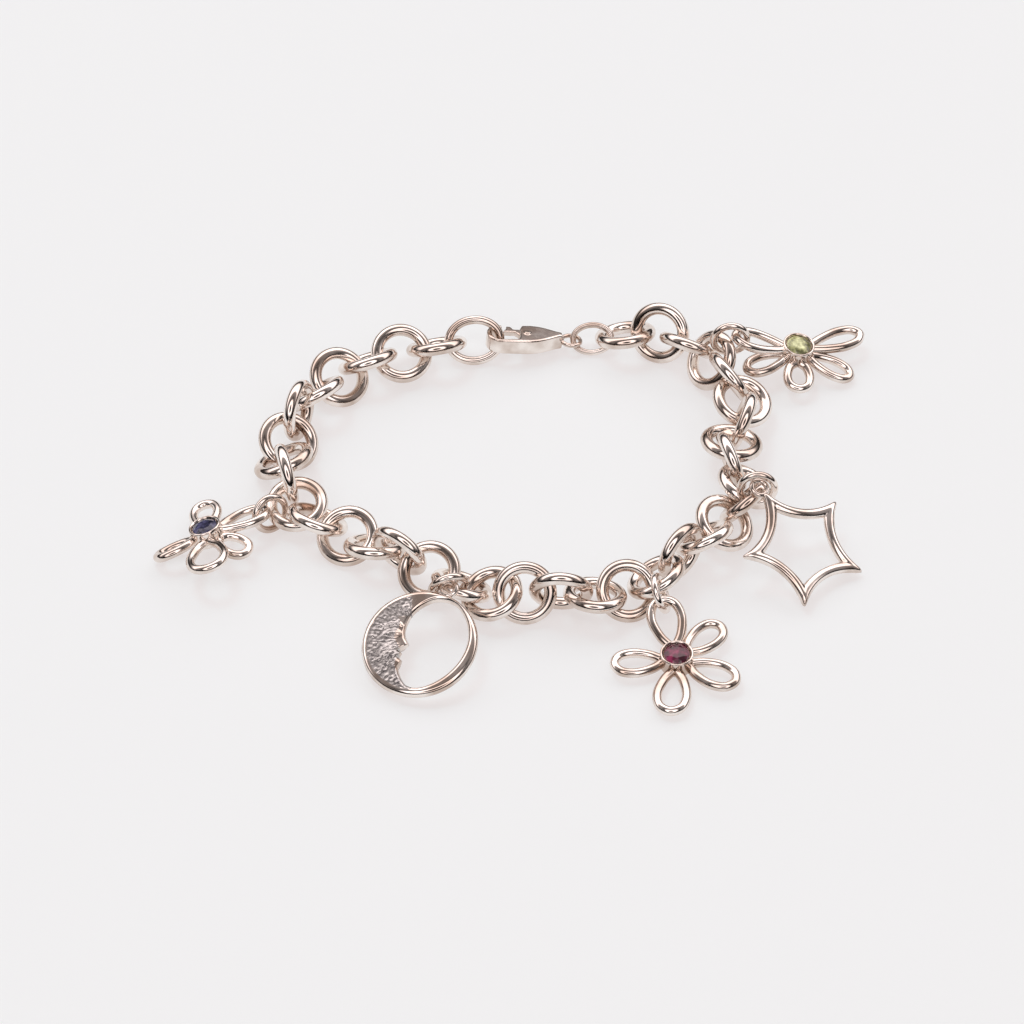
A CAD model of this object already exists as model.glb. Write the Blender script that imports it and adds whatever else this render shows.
"""Looks for a silver charm bracelet: round wire links, a lobster clasp and five charms."""
import math
import random

import bmesh
import bpy
import numpy as np
from bpy.props import FloatProperty, FloatVectorProperty, IntProperty, PointerProperty
from mathutils import Matrix, Vector, geometry, noise


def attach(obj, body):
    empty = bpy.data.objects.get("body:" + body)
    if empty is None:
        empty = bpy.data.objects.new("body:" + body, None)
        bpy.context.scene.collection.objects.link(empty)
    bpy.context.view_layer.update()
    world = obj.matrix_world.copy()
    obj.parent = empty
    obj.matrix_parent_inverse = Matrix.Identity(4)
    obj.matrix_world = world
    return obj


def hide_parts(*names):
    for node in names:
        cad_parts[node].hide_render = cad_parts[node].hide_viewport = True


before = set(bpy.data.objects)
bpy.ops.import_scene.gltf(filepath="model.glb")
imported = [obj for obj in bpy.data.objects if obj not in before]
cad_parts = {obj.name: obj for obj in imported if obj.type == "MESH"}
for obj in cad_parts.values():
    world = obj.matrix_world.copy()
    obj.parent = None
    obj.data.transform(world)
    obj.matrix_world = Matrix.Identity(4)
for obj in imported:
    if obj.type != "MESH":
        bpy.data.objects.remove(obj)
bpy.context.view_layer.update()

bl_info = {
    "name": "Charm bracelet",
    "version": (1, 0, 0),
    "blender": (4, 5, 0),
    "location": "3D View > Sidebar > Bracelet",
    "description": "Builds a silver charm bracelet around its fixed solids",
    "category": "Add Mesh",
}

MM = 0.001
BODY = "bracelet"

# The point that the photograph is centred on, from the middle of the bracelet's box, in millimetres
PICTURE_CENTRE = Vector((-0.425, 0.795, 0.0))

# Outer length, outer width and wire of each kind of ring, in millimetres
RINGS = {
    "link": (7.75, 7.75, 1.55),
    "end_ring": (7.6, 6.3, 1.1),
    "small_ring": (5.6, 4.2, 0.75),
    "jump_ring": (5.1, 5.1, 0.9),
}

# Petals and wings: turn round the setting, lift, twist, reach and width
PETALS = {
    "flower_pink": [
        (102, 17, 0, 8.55, 4.8), (187, 2, 0, 8.0, 4.3), (263, 0, 0, 8.6, 4.6), (332, 2, 0, 8.3, 4.5),
        (43, 4, 0, 7.8, 4.3),
    ],
    "flower_blue": [
        (95, 4, 0, 6.6, 4.2), (200, -2, 20, 7.2, 4.2), (273, 0, 0, 8.2, 5.4), (330, -22, 0, 6.2, 4.0),
        (26, -6, 0, 8.4, 4.2),
    ],
    "butterfly": [
        (24, 4, 0, 9.3, 3.8), (185, 16, 0, 9.2, 3.9), (206, -8, 0, 7.6, 3.6), (272, -10, 0, 6.2, 4.0),
        (341, -9, 0, 7.8, 3.7),
    ],
}
PETAL_WIRE = 1.15
PETAL_ROOT = 1.85
PETAL_HEIGHT = 0.95
SETTING_RADIUS = 2.0
SETTING_HEIGHT = 2.3
STONE_RADIUS = 1.55
GIRDLE_BELOW_RIM = 0.25
PAVILION_DEPTH = 0.9

MOON_RADIUS = 7.0
MOON_THICKNESS = 1.3
MOON_EYE_TURN = 65
MOON_EDGE = 0.62
# Rows of the mesh on the front and on the back
MOON_ROWS = (40, 10)
# The moon's face, in the moon's own millimetres: places and heights of the lid, its line, brow and cheek
LID_X, LID_Y, LID_HEIGHT = -3.15, 1.35, 0.22
LID_LINE_Y, LID_LINE_HALF, LID_LINE_DEPTH = 1.02, 0.8, 0.12
BROW_X, BROW_Y, BROW_HALF, BROW_HEIGHT = -3.0, 2.65, 1.1, 0.16
CHEEK_X, CHEEK_Y, CHEEK_HEIGHT = -3.3, -1.2, 0.16
FACE_RIGHT = -0.6
# The cast texture's limits: the rim, the inner side, the face's edge and the horns
RIM, TEXTURE_RIGHT, TEXTURE_FACE, TEXTURE_TOP, TEXTURE_BOTTOM = 0.75, -0.9, -2.6, 3.6, -4.4
# Craters: the seed and the number of them, and the ranges of their turn, reach, radius and height
CRATER_SEED, CRATER_COUNT = 11, 70
CRATER_TURN, CRATER_REACH = (95, 262), (2.6, 6.2)
CRATER_RADIUS, CRATER_HEIGHT = (0.12, 0.34), (0.01, 0.035)
MOON_OPENING = [
    (2.1, 5.5), (4.2, 4.8), (5.5, 2.7), (5.8, 0.6), (5.4, -1.4), (4.2, -3.4), (2.1, -5.1), (-0.2, -5.8),
    (-1.5, -5.4), (-2.2, -4.3), (-2.5, -3.0), (-2.1, -2.1), (-2.5, -1.6), (-2.1, -1.1), (-2.4, -0.7),
    (-1.3, -0.1), (-1.6, 0.8), (-1.7, 1.7), (-1.4, 2.8), (-0.7, 4.0), (0.5, 5.0),
]

# The star's sharp points before they are blunted, its sides' middles, and the same of its hole
STAR_POINT, STAR_SIDE, STAR_HOLE_POINT, STAR_HOLE_SIDE = 8.6, 4.95, 5.1, 3.65
STAR_BLUNT = 0.1
STAR_THICKNESS = 1.25
STAR_FIRST_TIP = 127
STAR_EYE_SUNK = 0.25
STAR_COLUMNS = 720
STAR_ROWS = (20, 14)
SIDE_STEPS = 60
TIP_STEPS = 20
CHARM_EYE_RADIUS = 0.95
CHARM_EYE_WIRE = 0.7
EYE_STEPS = 40
EYE_SIDES = 16
PETAL_STEPS = 90
SETTING_STEPS = 64
OPENING_STEPS = 1200

# How far a charm's middle lies above its flat back; the other charms are measured from the back itself
BACK_DEPTH = {"moon": MOON_THICKNESS / 2, "star": STAR_THICKNESS / 2}
# How far a corner of the back may lie off the circle that its middle is worked out from, and how many
# times the circle is worked out
CIRCLE_SLACK = 0.005
CIRCLE_ROUNDS = 3
# A charm's back: how far it has to face down, and how well the directions and levels of its faces agree
BACK_FACES_DOWN = -0.5
SAME_DIRECTION = 0.9999
SAME_LEVEL = 0.01

# Rounds of smoothing that soften the clasp's edges
RELAX_ROUNDS = 16

STONE_SLOTS = {"flower_pink": "stone_pink", "flower_blue": "stone_blue", "butterfly": "stone_green"}

# The photograph's camera: its height angle, its distance from the middle of the picture, its lens and
# its sensor's width, all but the angle in millimetres
VIEW_ELEVATION = math.radians(47)
VIEW_DISTANCE = 600.0
LENS = 172.97
SENSOR_WIDTH = 36

# How bright the tent is: round the camera, by the cosine of the angle from the camera's direction,
# and by height, from the horizon up
TENT_ROUND_CAMERA = [
    (0.0, 1.0), (0.34, 1.0), (0.45, 0.17), (0.66, 0.14), (0.74, 0.05), (0.81, 0.05), (0.87, 1.0),
    (0.95, 1.0), (0.98, 0.03),
]
TENT_BY_HEIGHT = [(0.0, 0.03), (0.22, 0.04), (0.34, 0.4), (0.44, 1.5), (0.7, 1.9), (1.0, 2.0)]

# The key lamp: its place and width in metres and its colour
KEY_PLACE = (-0.45, 0.5, 1.5)
KEY_WIDTH = 0.42
KEY_COLOUR = (0.60, 0.97, 1.0)

# The pale surface's sides in millimetres
SURFACE_LEFT, SURFACE_RIGHT, SURFACE_FRONT, SURFACE_BACK = -700, 700, -700, 1100


class SilverSettings(bpy.types.PropertyGroup):
    """Finish of the polished silver"""
    light: FloatVectorProperty(
        name="Silver", description="Polished silver's own colour", subtype="COLOR", size=3, min=0, max=1,
        default=(0.92, 0.85, 0.795))
    warm: FloatVectorProperty(
        name="Warm silver", description="Silver where it is a little tarnished", subtype="COLOR", size=3,
        min=0, max=1, default=(0.60, 0.49, 0.42))
    recess: FloatVectorProperty(
        name="Dark recess", description="Oxidised silver in the moon's texture", subtype="COLOR", size=3,
        min=0, max=1, default=(0.22, 0.21, 0.22))
    roughness: FloatProperty(
        name="Roughness", description="Roughness of the polish", default=0.1, min=0, max=1, subtype="FACTOR")


class StoneSettings(bpy.types.PropertyGroup):
    """Colours of the three cut stones"""
    pink: FloatVectorProperty(
        name="Pink stone", description="Colour of the plum-pink stone", subtype="COLOR", size=3,
        min=0, max=1, default=(0.13, 0.004, 0.036))
    blue: FloatVectorProperty(
        name="Blue stone", description="Colour of the violet-blue stone", subtype="COLOR", size=3,
        min=0, max=1, default=(0.04, 0.038, 0.085))
    green: FloatVectorProperty(
        name="Green stone", description="Colour of the yellow-green stone", subtype="COLOR", size=3,
        min=0, max=1, default=(0.52, 0.51, 0.25))
    table: FloatProperty(
        name="Table radius", description="Radius of a stone's flat top, in millimetres", default=0.92,
        min=0.3, max=1.4)


class SmoothSettings(bpy.types.PropertyGroup):
    """How finely the round pieces are meshed"""
    ring_steps: IntProperty(
        name="Ring steps", description="Steps round a ring", default=72, min=16, max=200)
    wire_sides: IntProperty(
        name="Wire sides", description="Sides of a round wire", default=20, min=8, max=48)
    moon_columns: IntProperty(
        name="Moon columns", description="Steps round the moon", default=600, min=120, max=1200)
    clasp_voxel: FloatProperty(
        name="Clasp voxel", description="Voxel of the clasp's softened edges, in millimetres", default=0.055,
        min=0.03, max=0.2)


class StudioSettings(bpy.types.PropertyGroup):
    """The surface, the lights and the camera"""
    surface: FloatVectorProperty(
        name="Surface", description="Colour of the pale surface", subtype="COLOR", size=3, min=0, max=1,
        default=(0.24, 0.30, 0.318))
    glow: FloatVectorProperty(
        name="Glow", description="Light that comes through the surface from below", subtype="COLOR", size=3,
        min=0, max=1, default=(0.62, 0.56, 0.55))
    key_power: FloatProperty(
        name="Key light", description="Power of the key light, in watts", default=5.0, min=0)
    fill: FloatProperty(
        name="Fill", description="Strength of the tent's soft light", default=1.02, min=0)
    fill_colour: FloatVectorProperty(
        name="Fill colour", description="Colour of the tent's soft light", subtype="COLOR", size=3,
        min=0, max=1, default=(1.0, 0.905, 0.895))


# Meshes


def flat_back(node):
    """The upward direction of a charm's flat back and the back's corners, read from its node."""
    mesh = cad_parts[node].data
    downward = [face for face in mesh.polygons if face.normal.z < BACK_FACES_DOWN]
    largest = max(downward, key=lambda face: face.area)
    level = largest.center.dot(largest.normal)
    total = Vector()
    corners = set()
    for face in mesh.polygons:
        same_way = face.normal.dot(largest.normal) > SAME_DIRECTION
        if same_way and abs(face.center.dot(largest.normal) - level) < SAME_LEVEL * MM:
            total += face.normal * face.area
            corners.update(face.vertices)
    return -total.normalized(), [mesh.vertices[i].co.copy() for i in corners]


def circle_centre(points):
    """The middle of the circle that most of the points' x and y lie on."""
    spots = np.array([(p.x, p.y) for p in points])
    for _ in range(CIRCLE_ROUNDS):
        sides = np.column_stack((2 * spots, np.ones(len(spots))))
        centre = np.linalg.lstsq(sides, (spots ** 2).sum(1), rcond=None)[0][:2]
        radii = np.hypot(*(spots - centre).T)
        spots = spots[abs(radii - np.median(radii)) < CIRCLE_SLACK]
    return centre


def pose_of(charm):
    """The matrix that takes a charm's own millimetres to the frame's metres, read from its flat back."""
    up, corners = flat_back(charm)
    lean, tip = math.atan2(-up.y, up.z), math.asin(up.x)
    turned = Matrix.Rotation(lean, 4, "X") @ Matrix.Rotation(tip, 4, "Y")
    flat = [turned.inverted() @ (corner / MM) for corner in corners]
    x, y = circle_centre([flat[i] for i in geometry.convex_hull_2d([corner.xy for corner in flat])])
    z = sum(corner.z for corner in flat) / len(flat) + BACK_DEPTH.get(charm, 0.0)
    return Matrix.Scale(MM, 4) @ turned @ Matrix.Translation((x, y, z))


def build_mesh(name, parts, matrix, materials, smooth=True):
    """One object from parts, each a tuple of vertices, faces and a material number."""
    verts, faces, slots = [], [], []
    for part_verts, part_faces, slot in parts:
        base = len(verts)
        verts += [matrix @ Vector(v) for v in part_verts]
        faces += [[base + i for i in face] for face in part_faces]
        slots += [slot] * len(part_faces) if isinstance(slot, int) else list(slot)
    mesh = bpy.data.meshes.new(name)
    mesh.from_pydata(verts, [], faces)
    mesh.polygons.foreach_set("use_smooth", [smooth] * len(faces))
    mesh.polygons.foreach_set("material_index", slots)
    for material in materials:
        mesh.materials.append(material)
    obj = bpy.data.objects.new(name, mesh)
    bpy.context.scene.collection.objects.link(obj)
    work = bmesh.new()
    work.from_mesh(mesh)
    bmesh.ops.recalc_face_normals(work, faces=work.faces)
    work.to_mesh(mesh)
    work.free()
    return obj


def grid_faces(rows, columns, close_rows, close_columns):
    faces = []
    for r in range(rows if close_rows else rows - 1):
        for c in range(columns if close_columns else columns - 1):
            r2, c2 = (r + 1) % rows, (c + 1) % columns
            faces.append((r * columns + c, r * columns + c2, r2 * columns + c2, r2 * columns + c))
    return faces


def ring_part(rx, ry, wire, steps, sides):
    """A closed ring of round wire in the xy plane, oval where rx and ry differ."""
    verts = []
    for i in range(steps):
        a = 2 * math.pi * i / steps
        out = Vector((ry * math.cos(a), rx * math.sin(a), 0)).normalized()
        for k in range(sides):
            b = 2 * math.pi * k / sides
            spot = out * (math.cos(b) * wire / 2)
            verts.append((rx * math.cos(a) + spot.x, ry * math.sin(a) + spot.y, math.sin(b) * wire / 2))
    return verts, grid_faces(steps, sides, True, True)


def spline(points, count, closed=False):
    """Centripetal spline through the points, sampled evenly in its parameter."""
    pts = [Vector(p) for p in points]
    n = len(pts)
    spans = n if closed else n - 1
    before = pts[-1] if closed else 2 * pts[0] - pts[1]
    after = 2 * pts[-1] - pts[-2]
    out = []
    for s in range(count):
        u = s / (count if closed else count - 1) * spans
        i = min(int(u), spans - 1)
        t = u - i
        p1, p2 = pts[i], pts[(i + 1) % n]
        p0 = pts[i - 1] if i > 0 else before
        if i + 2 < n:
            p3 = pts[i + 2]
        else:
            p3 = pts[(i + 2) % n] if closed else after
        d1, d2, d3 = ((b - a).length ** 0.5 for a, b in ((p0, p1), (p1, p2), (p2, p3)))
        m1 = ((p1 - p0) / d1 - (p2 - p0) / (d1 + d2) + (p2 - p1) / d2) * d2
        m2 = ((p2 - p1) / d2 - (p3 - p1) / (d2 + d3) + (p3 - p2) / d3) * d2
        t2, t3 = t * t, t * t * t
        spot = p1 * (2 * t3 - 3 * t2 + 1) + m1 * (t3 - 2 * t2 + t)
        out.append(spot + p2 * (3 * t2 - 2 * t3) + m2 * (t3 - t2))
    return out


def tube_part(path, wire, sides):
    """An open round wire along the path, with its ends closed."""
    n = len(path)
    up = Vector((0, 0, 1))
    verts = []
    for i in range(n):
        tangent = (path[min(i + 1, n - 1)] - path[max(i - 1, 0)]).normalized()
        side = tangent.cross(up).normalized()
        up = side.cross(tangent).normalized()
        for k in range(sides):
            b = 2 * math.pi * k / sides
            verts.append(path[i] + side * (math.cos(b) * wire / 2) + up * (math.sin(b) * wire / 2))
    faces = grid_faces(n, sides, False, True)
    faces.append(list(range(sides))[::-1])
    faces.append([(n - 1) * sides + k for k in range(sides)])
    return verts, faces


def lathe_part(profile, steps):
    """A closed turned solid: the profile's first and last points lie on the axis."""
    verts = [(0, 0, profile[0][1])]
    turns = [2 * math.pi * i / steps for i in range(steps)]
    for r, z in profile[1:-1]:
        verts += [(r * math.cos(a), r * math.sin(a), z) for a in turns]
    verts.append((0, 0, profile[-1][1]))
    rows = len(profile) - 2
    faces = [tuple(1 + i for i in face) for face in grid_faces(rows, steps, False, True)]
    last = len(verts) - 1
    for i in range(steps):
        j = (i + 1) % steps
        faces.append((0, 1 + j, 1 + i))
        faces.append((last, 1 + (rows - 1) * steps + i, 1 + (rows - 1) * steps + j))
    return verts, faces


def moved(part, matrix):
    verts, faces = part
    return [matrix @ Vector(v) for v in verts], faces


def rounded(distance, radius):
    """Height of a rounded edge, from 0 at the edge to 1 at `radius` from it."""
    d = max(0.0, min(1.0, distance / radius))
    return math.sqrt(max(0.0, 1 - (1 - d) ** 2))


def hoop_part(inner, outer, front_rows, back_rows, height, marks=None):
    """A pierced plate round the origin between two outlines given by angle.

    The plate's height at each spot comes from the function `height`, and `marks` says where it is textured.
    """
    columns = len(inner)
    rows = [("front", i / (front_rows - 1)) for i in range(front_rows)]
    rows += [("back", 1 - (i + 1) / (back_rows + 1)) for i in range(back_rows)]
    verts, slots = [], []
    for side, t in rows:
        for c in range(columns):
            a = 2 * math.pi * c / columns
            r = inner[c] + (outer[c] - inner[c]) * t
            x, y = r * math.cos(a), r * math.sin(a)
            verts.append((x, y, height(side, x, y, r - inner[c], outer[c] - r)))
    faces = grid_faces(len(rows), columns, True, True)
    for face in faces:
        x, y, z = (sum(verts[i][k] for i in face) / 4 for k in range(3))
        slots.append(1 if marks and z > 0 and marks(x, y) else 0)
    return verts, faces, slots


def by_angle(outline, columns):
    """An outline's distance from the origin at evenly spaced angles."""
    angle = np.array([math.atan2(p[1], p[0]) % (2 * math.pi) for p in outline])
    reach = np.array([math.hypot(p[0], p[1]) for p in outline])
    order = np.argsort(angle)
    wanted = np.arange(columns) * 2 * math.pi / columns
    return np.interp(wanted, angle[order], reach[order], period=2 * math.pi)


# Materials


def new_material(name):
    material = bpy.data.materials.new(name)
    material.use_nodes = True
    tree = material.node_tree
    return material, tree.nodes, tree.links, tree.nodes["Principled BSDF"]


def add_noise(nodes, links, scale, detail, roughness=0.5):
    place = nodes.new("ShaderNodeTexCoord")
    texture = nodes.new("ShaderNodeTexNoise")
    texture.inputs["Scale"].default_value = scale
    texture.inputs["Detail"].default_value = detail
    texture.inputs["Roughness"].default_value = roughness
    links.new(place.outputs["Object"], texture.inputs["Vector"])
    return texture


def add_ramp(nodes, stops):
    ramp = nodes.new("ShaderNodeValToRGB")
    while len(ramp.color_ramp.elements) < len(stops):
        ramp.color_ramp.elements.new(0.5)
    for element, (position, colour) in zip(ramp.color_ramp.elements, stops):
        element.position = position
        element.color = (*colour, 1)
    return ramp


def polished_silver(settings):
    """Bright polished silver with faint warm tarnish, an uneven polish and shallow dents."""
    material, nodes, links, shader = new_material("polished_silver")
    shader.inputs["Metallic"].default_value = 1
    cloud = add_noise(nodes, links, 260, 3)
    tone = add_ramp(nodes, [(0.35, settings.warm), (0.6, settings.light)])
    links.new(cloud.outputs["Fac"], tone.inputs["Fac"])
    links.new(tone.outputs["Color"], shader.inputs["Base Color"])
    wear = add_noise(nodes, links, 1400, 4)
    gloss = nodes.new("ShaderNodeMapRange")
    gloss.inputs["From Min"].default_value = 0.3
    gloss.inputs["From Max"].default_value = 0.75
    gloss.inputs["To Min"].default_value = settings.roughness * 0.6
    gloss.inputs["To Max"].default_value = settings.roughness * 1.6
    links.new(wear.outputs["Fac"], gloss.inputs["Value"])
    links.new(gloss.outputs["Result"], shader.inputs["Roughness"])
    dents = add_noise(nodes, links, 420, 2)
    bump = nodes.new("ShaderNodeBump")
    bump.inputs["Strength"].default_value = 0.12
    bump.inputs["Distance"].default_value = 0.0001
    links.new(dents.outputs["Fac"], bump.inputs["Height"])
    links.new(bump.outputs["Normal"], shader.inputs["Normal"])
    return material


def cratered_silver(settings):
    """The moon's cast texture: silver with dark oxide in its pits."""
    material, nodes, links, shader = new_material("cratered_silver")
    shader.inputs["Metallic"].default_value = 1
    shader.inputs["Roughness"].default_value = 0.26
    pits = add_noise(nodes, links, 2600, 5, 0.65)
    tone = add_ramp(nodes, [(0.34, settings.recess), (0.46, (0.48, 0.46, 0.45)), (0.75, (0.74, 0.71, 0.69))])
    links.new(pits.outputs["Fac"], tone.inputs["Fac"])
    links.new(tone.outputs["Color"], shader.inputs["Base Color"])
    bump = nodes.new("ShaderNodeBump")
    bump.inputs["Strength"].default_value = 0.12
    bump.inputs["Distance"].default_value = 0.00006
    links.new(pits.outputs["Fac"], bump.inputs["Height"])
    links.new(bump.outputs["Normal"], shader.inputs["Normal"])
    return material


def cut_stone(name, colour):
    """A faceted stone: deep colour with lighter and darker flecks inside it."""
    material, nodes, links, shader = new_material(name)
    shader.inputs["Roughness"].default_value = 0.04
    shader.inputs["IOR"].default_value = 1.6
    shader.inputs["Coat Weight"].default_value = 0.15
    flecks = add_noise(nodes, links, 900, 2, 0.6)
    deep = tuple(c * 0.3 for c in colour)
    bright = tuple(min(1.0, c * 2.2 + 0.02) for c in colour)
    tone = add_ramp(nodes, [(0.38, deep), (0.52, tuple(colour)), (0.68, bright)])
    links.new(flecks.outputs["Fac"], tone.inputs["Fac"])
    links.new(tone.outputs["Color"], shader.inputs["Base Color"])
    return material


def surface_material(colour, glow):
    """A matt pale surface that is also lit from below, as a light table is."""
    material, nodes, links, shader = new_material("pale_surface")
    shader.inputs["Roughness"].default_value = 0.75
    shader.inputs["Emission Color"].default_value = (*glow, 1)
    shader.inputs["Emission Strength"].default_value = 1.0
    grain = add_noise(nodes, links, 60, 2)
    tone = add_ramp(nodes, [(0.3, tuple(c * 0.995 for c in colour)), (0.7, tuple(colour))])
    links.new(grain.outputs["Fac"], tone.inputs["Fac"])
    links.new(tone.outputs["Color"], shader.inputs["Base Color"])
    return material


def silver():
    return bpy.data.materials.get("polished_silver") or polished_silver(bpy.context.scene.bracelet_silver)


def finish_piece(obj, node, body=BODY):
    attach(obj, body)
    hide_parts(node)


# Pieces


def ring_pose(node):
    """The matrix that takes a ring's own millimetres to the frame's metres, read from its node."""
    spots = np.array([v.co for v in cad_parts[node].data.vertices])
    spots = np.unique(np.round(spots / MM, 3), axis=0)
    middle = spots.mean(0)
    _, axes = np.linalg.eigh((spots - middle).T @ (spots - middle))
    normal, long_axis = Vector(axes[:, 0]), Vector(axes[:, 2])
    turned = Matrix((long_axis, normal.cross(long_axis), normal)).transposed().to_4x4()
    return Matrix.Scale(MM, 4) @ Matrix.Translation(Vector(middle)) @ turned


def make_ring(node, kind):
    smooth = bpy.context.scene.bracelet_smooth
    length, width, wire = RINGS[kind]
    part = ring_part((length - wire) / 2, (width - wire) / 2, wire, smooth.ring_steps, smooth.wire_sides)
    obj = build_mesh(f"smooth_{node}", [(*part, 0)], ring_pose(node), [silver()])
    finish_piece(obj, node)


def soften(node, name, voxel):
    """A copy of a solid with its edges rounded, as a casting's are."""
    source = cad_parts[node]
    mesh = source.data.copy()
    mesh.transform(Matrix.Scale(1 / MM, 4))
    work = bmesh.new()
    work.from_mesh(mesh)
    bmesh.ops.remove_doubles(work, verts=work.verts, dist=1e-4)
    work.to_mesh(mesh)
    work.free()
    rough = bpy.data.objects.new(f"{name}_rough", mesh)
    bpy.context.scene.collection.objects.link(rough)
    remesh = rough.modifiers.new("remesh", "REMESH")
    remesh.mode = "VOXEL"
    remesh.voxel_size = voxel
    relax = rough.modifiers.new("relax", "SMOOTH")
    relax.factor = 0.5
    relax.iterations = RELAX_ROUNDS
    evaluated = rough.evaluated_get(bpy.context.evaluated_depsgraph_get())
    result = bpy.data.meshes.new_from_object(evaluated)
    bpy.data.objects.remove(rough)
    result.transform(Matrix.Scale(MM, 4))
    result.polygons.foreach_set("use_smooth", [True] * len(result.polygons))
    result.materials.clear()
    result.materials.append(silver())
    obj = bpy.data.objects.new(name, result)
    bpy.context.scene.collection.objects.link(obj)
    return obj


def setting_part():
    s, h = SETTING_RADIUS, SETTING_HEIGHT
    profile = [
        (0, 0), (s - 0.25, 0), (s - 0.08, 0.05), (s - 0.02, 0.2), (s - 0.05, 0.6), (s - 0.12, 1.0),
        (s - 0.05, 1.4), (s, 1.8), (s, h - 0.15), (s - 0.04, h - 0.05), (s - 0.12, h), (s - 0.2, h - 0.02),
        (s - 0.3, h - 0.12), (s - 0.33, h - 0.3), (s - 0.4, h - 0.5), (0.9, h - 1.1), (0, h - 1.5),
    ]
    return lathe_part(profile, SETTING_STEPS)


def petal_part(turn, lift, twist, reach, width, sides):
    half = (width - PETAL_WIRE) / 2
    tip = reach - PETAL_WIRE / 2
    side = [(PETAL_ROOT, 0.35), (0.42 * tip, 0.7 * half), (0.7 * tip, half), (0.92 * tip, 0.72 * half)]
    points = [(x, y, 0) for x, y in side] + [(tip, 0, 0)] + [(x, -y, 0) for x, y in reversed(side)]
    part = tube_part(spline(points, PETAL_STEPS), PETAL_WIRE, sides)
    turned = (
        Matrix.Translation((0, 0, PETAL_HEIGHT)) @ Matrix.Rotation(math.radians(turn), 4, "Z")
        @ Matrix.Rotation(math.radians(-lift), 4, "Y") @ Matrix.Rotation(math.radians(twist), 4, "X"))
    return moved(part, turned)


def stone_parts(table):
    """A round cut stone: eight-sided table, three kinds of crown facets and a pointed pavilion."""
    h = SETTING_HEIGHT - GIRDLE_BELOW_RIM
    # Radius, height, shift in steps and number of corners of each ring of corners
    rings = [
        (table, h + 0.34, 0.0, 8), (1.3, h + 0.2, 0.5, 8),
        (STONE_RADIUS, h + 0.04, 0.0, 16), (STONE_RADIUS, h - 0.04, 0.0, 16),
    ]
    verts = []
    starts = []
    for radius, z, shift, count in rings:
        starts.append(len(verts))
        for i in range(count):
            a = 2 * math.pi * (i + shift) / count
            verts.append((radius * math.cos(a), radius * math.sin(a), z))
    point = len(verts)
    verts.append((0, 0, h - PAVILION_DEPTH))
    table_row, star_row, girdle_top, girdle_low = starts
    faces = [[table_row + i for i in range(8)]]
    for i in range(8):
        j = (i + 1) % 8
        faces.append((table_row + i, star_row + i, table_row + j))
        g = girdle_top + 2 * i
        g1 = girdle_top + (2 * i + 1) % 16
        g2 = girdle_top + (2 * i + 2) % 16
        faces.append((star_row + i, g, g1))
        faces.append((star_row + i, g1, g2))
        faces.append((table_row + i, star_row + (i - 1) % 8, g))
        faces.append((table_row + i, g, star_row + i))
    for i in range(16):
        j = (i + 1) % 16
        faces.append((girdle_top + i, girdle_low + i, girdle_low + j, girdle_top + j))
        faces.append((girdle_low + i, point, girdle_low + j))
    return verts, faces


def moon_features():
    """The craters of the moon's cheek, drawn at random with a fixed seed."""
    draw = random.Random(CRATER_SEED)
    craters = []
    while len(craters) < CRATER_COUNT:
        a = math.radians(draw.uniform(*CRATER_TURN))
        r = draw.uniform(*CRATER_REACH)
        x, y = r * math.cos(a), r * math.sin(a)
        if on_texture(x, y):
            craters.append((x, y, draw.uniform(*CRATER_RADIUS), draw.uniform(*CRATER_HEIGHT)))
    return craters


def on_texture(x, y):
    """Where the crescent's cast texture lies: clear of the rim, of the face and of the horns."""
    if math.hypot(x, y) > MOON_RADIUS - RIM or x > TEXTURE_RIGHT:
        return False
    return x < TEXTURE_FACE - 0.3 * math.sin(y * 1.7) or y > TEXTURE_TOP or y < TEXTURE_BOTTOM


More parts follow.
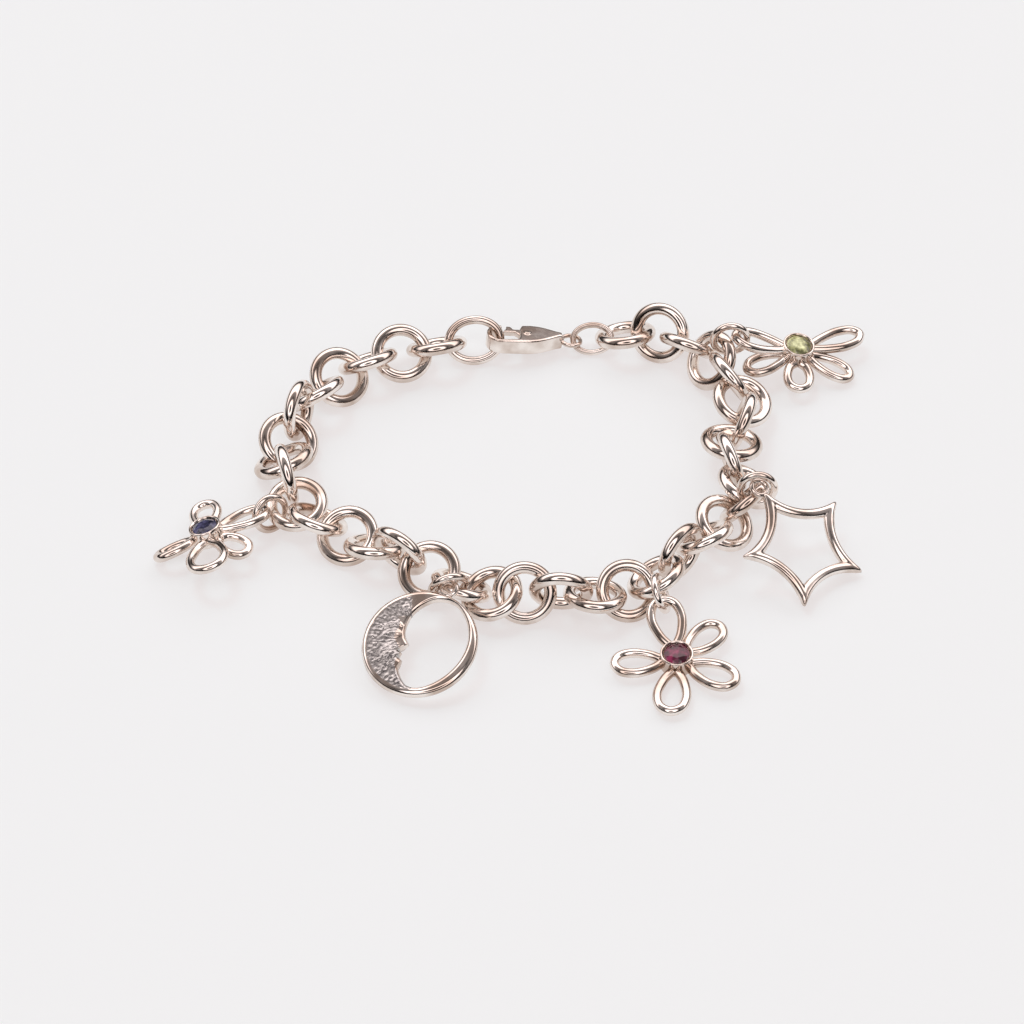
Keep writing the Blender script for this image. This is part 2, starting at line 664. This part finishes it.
def make_moon():
    columns = bpy.context.scene.bracelet_smooth.moon_columns
    inner = by_angle(spline([(x, y, 0) for x, y in MOON_OPENING], OPENING_STEPS, closed=True), columns)
    outer = np.full(columns, MOON_RADIUS)
    craters = moon_features()
    half = MOON_THICKNESS / 2

    def height(side, x, y, from_inner, from_outer):
        edge = rounded(min(from_inner, from_outer), MOON_EDGE)
        if side == "back":
            return -half * edge
        z = half * edge
        depth = min(1.0, max(0.0, (min(from_inner, from_outer) - 0.3) / 0.5))
        if depth <= 0 or x > FACE_RIGHT:
            return z
        lid = (x - LID_X) ** 2 / 0.8 + (y - LID_Y) ** 2 / 0.22
        z += LID_HEIGHT * depth * math.exp(-lid ** 2)
        lid_line = abs(y - (LID_LINE_Y + 0.32 * (x - LID_X) ** 2)) + max(0, abs(x - LID_X) - LID_LINE_HALF)
        z -= LID_LINE_DEPTH * depth * math.exp(-(lid_line / 0.1) ** 2)
        brow = abs(y - (BROW_Y - 0.28 * (x - BROW_X) ** 2)) + max(0, abs(x - BROW_X) - BROW_HALF)
        z += BROW_HEIGHT * depth * math.exp(-(brow / 0.2) ** 2)
        cheek = (x - CHEEK_X) ** 2 + (y - CHEEK_Y) ** 2
        z += CHEEK_HEIGHT * depth * math.exp(-cheek / 1.1)
        if on_texture(x, y):
            z += 0.03 * depth * (noise.noise(Vector((x * 2.6, y * 2.6, 3.0))) - 0.2)
            z += 0.008 * depth * noise.noise(Vector((x * 7, y * 7, 9.0)))
            for cx, cy, r, tall in craters:
                d = math.hypot(x - cx, y - cy)
                if d < 2 * r:
                    wall = math.exp(-((d - r) / (0.35 * r)) ** 2)
                    z += depth * tall * (wall - 0.7 * math.exp(-(d / (0.6 * r)) ** 2))
        return z

    part = hoop_part(inner, outer, *MOON_ROWS, height, on_texture)
    eye = ring_part(CHARM_EYE_RADIUS, CHARM_EYE_RADIUS, CHARM_EYE_WIRE, EYE_STEPS, EYE_SIDES)
    a, reach = math.radians(MOON_EYE_TURN), MOON_RADIUS + CHARM_EYE_RADIUS
    spot = Matrix.Translation((reach * math.cos(a), reach * math.sin(a), 0))
    cast = cratered_silver(bpy.context.scene.bracelet_silver)
    obj = build_mesh("cast_moon", [part, (*moved(eye, spot), 0)], pose_of("moon"), [silver(), cast])
    finish_piece(obj, "moon")


def star_outline(point, side, blunt):
    """Points round a five-pointed outline whose sides curve inward and whose points are rounded."""
    def curve(p0, p1, p2, t):
        return tuple((1 - t) ** 2 * p0[d] + 2 * t * (1 - t) * p1[d] + t * t * p2[d] for d in (0, 1))

    def at(reach, degrees):
        return reach * math.cos(math.radians(degrees)), reach * math.sin(math.radians(degrees))

    control = 2 * side - point * math.cos(math.pi / 5)
    points = []
    for i in range(5):
        turn = STAR_FIRST_TIP + 72 * i
        ends = at(point, turn), at(control, turn + 36), at(point, turn + 72)
        after = at(point, turn + 72), at(control, turn + 108), at(point, turn + 144)
        points += [curve(*ends, blunt + (1 - 2 * blunt) * k / SIDE_STEPS) for k in range(SIDE_STEPS)]
        if blunt:
            tip = curve(*ends, 1 - blunt), at(point, turn + 72), curve(*after, blunt)
            points += [curve(*tip, k / TIP_STEPS) for k in range(TIP_STEPS)]
    return points


def make_star():
    columns = STAR_COLUMNS
    inner = by_angle(star_outline(STAR_HOLE_POINT, STAR_HOLE_SIDE, 0), columns)
    outline = star_outline(STAR_POINT, STAR_SIDE, STAR_BLUNT)
    outer = by_angle(outline, columns)
    half = STAR_THICKNESS / 2

    def height(side, x, y, from_inner, from_outer):
        reach = from_inner / (from_inner + from_outer)
        crown = math.sqrt(max(0.0, 1 - (2 * reach - 1) ** 2))
        return half * crown if side == "front" else -half * crown

    part = hoop_part(inner, outer, *STAR_ROWS, height)
    eye = ring_part(CHARM_EYE_RADIUS, CHARM_EYE_RADIUS, CHARM_EYE_WIRE, EYE_STEPS, EYE_SIDES)
    a = math.radians(STAR_FIRST_TIP)
    reach = max(math.hypot(x, y) for x, y in outline) + CHARM_EYE_RADIUS - STAR_EYE_SUNK
    spot = Matrix.Translation((reach * math.cos(a), reach * math.sin(a), 0))
    obj = build_mesh("wire_star", [part, (*moved(eye, spot), 0)], pose_of("star"), [silver()])
    finish_piece(obj, "star")


# Operators


class BRACELET_OT_chain(bpy.types.Operator):
    """Make the cable links, the end rings and the jump rings round and smooth"""
    bl_idname = "bracelet.chain"
    bl_label = "Chain and rings"

    def execute(self, context):
        for node in sorted(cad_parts):
            if node.startswith("link_"):
                make_ring(node, "link")
            elif node in RINGS:
                make_ring(node, node)
            elif node.startswith("jump_ring"):
                make_ring(node, "jump_ring")
        return {"FINISHED"}


class BRACELET_OT_clasp(bpy.types.Operator):
    """Make the lobster clasp and its lever"""
    bl_idname = "bracelet.clasp"
    bl_label = "Clasp"

    def execute(self, context):
        voxel = context.scene.bracelet_smooth.clasp_voxel
        finish_piece(soften("clasp_body", "cast_clasp", voxel), "clasp_body")
        finish_piece(soften("clasp_lever", "cast_lever", voxel), "clasp_lever", body="lever")
        return {"FINISHED"}


class BRACELET_OT_moon(bpy.types.Operator):
    """Make the crescent moon with its closed eye and craters"""
    bl_idname = "bracelet.moon"
    bl_label = "Moon"

    def execute(self, context):
        make_moon()
        return {"FINISHED"}


class BRACELET_OT_star(bpy.types.Operator):
    """Make the hollow star"""
    bl_idname = "bracelet.star"
    bl_label = "Star"

    def execute(self, context):
        make_star()
        return {"FINISHED"}


class BRACELET_OT_flowers(bpy.types.Operator):
    """Make the wire flowers and the butterfly with their settings"""
    bl_idname = "bracelet.flowers"
    bl_label = "Flowers and butterfly"

    def execute(self, context):
        sides = context.scene.bracelet_smooth.wire_sides
        for charm, loops in PETALS.items():
            parts = [(*setting_part(), 0)]
            parts += [(*petal_part(*loop, sides), 0) for loop in loops]
            obj = build_mesh(f"wire_{charm}", parts, pose_of(charm), [silver()])
            finish_piece(obj, charm)
        return {"FINISHED"}


class BRACELET_OT_stones(bpy.types.Operator):
    """Make the three cut stones"""
    bl_idname = "bracelet.stones"
    bl_label = "Stones"

    def execute(self, context):
        stones = context.scene.bracelet_stones
        colours = {"stone_pink": stones.pink, "stone_blue": stones.blue, "stone_green": stones.green}
        for charm, slot in STONE_SLOTS.items():
            verts, faces = stone_parts(stones.table)
            material = cut_stone(f"cut_{slot}", tuple(colours[slot]))
            obj = build_mesh(f"cut_{slot}", [(verts, faces, 0)], pose_of(charm), [material], smooth=False)
            finish_piece(obj, f"stone_{charm}")
        return {"FINISHED"}


class BRACELET_OT_studio(bpy.types.Operator):
    """Lay the pale surface and set the light and the camera"""
    bl_idname = "bracelet.studio"
    bl_label = "Surface, light and camera"

    def execute(self, context):
        studio = context.scene.bracelet_studio
        corners = [
            (SURFACE_LEFT, SURFACE_FRONT, 0), (SURFACE_RIGHT, SURFACE_FRONT, 0),
            (SURFACE_RIGHT, SURFACE_BACK, 0), (SURFACE_LEFT, SURFACE_BACK, 0),
        ]
        pale = surface_material(studio.surface, studio.glow)
        surface = build_mesh("pale_surface", [(corners, [(0, 1, 2, 3)], 0)], Matrix.Scale(MM, 4), [pale])
        target = PICTURE_CENTRE * MM
        eye = Vector((0, -math.cos(VIEW_ELEVATION), math.sin(VIEW_ELEVATION))) * VIEW_DISTANCE * MM + target
        camera = bpy.data.cameras.new("camera")
        camera.lens = LENS
        camera.sensor_width = SENSOR_WIDTH
        camera.clip_start = 0.01
        holder = bpy.data.objects.new("camera", camera)
        holder.location = eye
        holder.rotation_euler = (target - eye).to_track_quat("-Z", "Y").to_euler()
        context.scene.collection.objects.link(holder)
        context.scene.camera = holder
        self.light(context, "key", KEY_PLACE, KEY_WIDTH, studio.key_power, KEY_COLOUR)
        self.tent(context, studio)
        return {"FINISHED"}

    def light(self, context, name, at, size, power, colour):
        """A square lamp that points at the bracelet and isn't mirrored in the silver."""
        lamp = bpy.data.lights.new(name, "AREA")
        lamp.size = size
        lamp.energy = power
        lamp.color = colour
        holder = bpy.data.objects.new(name, lamp)
        holder.location = at
        holder.rotation_euler = (-Vector(at)).to_track_quat("-Z", "Y").to_euler()
        holder.visible_glossy = False
        context.scene.collection.objects.link(holder)

    def tent(self, context, studio):
        """A pale tent over a dark horizon, with a dark band and a dark hole round the photographer."""
        world = bpy.data.worlds.new("tent")
        context.scene.world = world
        context.scene.view_settings.view_transform = "Standard"
        world.use_nodes = True
        nodes, links = world.node_tree.nodes, world.node_tree.links
        direction = nodes.new("ShaderNodeTexCoord")
        to_camera = (0, -math.cos(VIEW_ELEVATION), math.sin(VIEW_ELEVATION))
        warm = tuple(studio.fill_colour)
        parts = []
        for axis, bands in ((to_camera, TENT_ROUND_CAMERA), ((0, 0, 1), TENT_BY_HEIGHT)):
            along = nodes.new("ShaderNodeVectorMath")
            along.operation = "DOT_PRODUCT"
            along.inputs[1].default_value = axis
            links.new(direction.outputs["Generated"], along.inputs[0])
            # The two ramps are multiplied, so each carries the square root of the tent's colour
            stops = [(place, tuple(level * c ** 0.5 for c in warm)) for place, level in bands]
            ramp = add_ramp(nodes, stops)
            links.new(along.outputs["Value"], ramp.inputs["Fac"])
            parts.append(ramp)
        both = nodes.new("ShaderNodeVectorMath")
        both.operation = "MULTIPLY"
        links.new(parts[0].outputs["Color"], both.inputs[0])
        links.new(parts[1].outputs["Color"], both.inputs[1])
        back = nodes["Background"]
        links.new(both.outputs["Vector"], back.inputs["Color"])
        back.inputs["Strength"].default_value = studio.fill


class BRACELET_PT_sidebar(bpy.types.Panel):
    """The bracelet's pieces and settings"""
    bl_label = "Charm bracelet"
    bl_idname = "BRACELET_PT_sidebar"
    bl_space_type = "VIEW_3D"
    bl_region_type = "UI"
    bl_category = "Bracelet"

    def draw(self, context):
        for operator in OPERATORS:
            self.layout.operator(operator.bl_idname)
        for name, group in SETTINGS.items():
            box = self.layout.box()
            for key in group.__annotations__:
                box.prop(getattr(context.scene, name), key)


SETTINGS = {
    "bracelet_silver": SilverSettings,
    "bracelet_stones": StoneSettings,
    "bracelet_smooth": SmoothSettings,
    "bracelet_studio": StudioSettings,
}
OPERATORS = (
    BRACELET_OT_chain, BRACELET_OT_clasp, BRACELET_OT_moon, BRACELET_OT_star, BRACELET_OT_flowers,
    BRACELET_OT_stones, BRACELET_OT_studio,
)


def register():
    for cls in (*SETTINGS.values(), *OPERATORS, BRACELET_PT_sidebar):
        bpy.utils.register_class(cls)
    for name, group in SETTINGS.items():
        setattr(bpy.types.Scene, name, PointerProperty(type=group))


def unregister():
    for name in SETTINGS:
        delattr(bpy.types.Scene, name)
    for cls in (BRACELET_PT_sidebar, *reversed(OPERATORS), *reversed(tuple(SETTINGS.values()))):
        bpy.utils.unregister_class(cls)


def main():
    register()
    bpy.ops.bracelet.chain()
    bpy.ops.bracelet.clasp()
    bpy.ops.bracelet.moon()
    bpy.ops.bracelet.star()
    bpy.ops.bracelet.flowers()
    bpy.ops.bracelet.stones()
    bpy.ops.bracelet.studio()


if __name__ == "__main__":
    main()
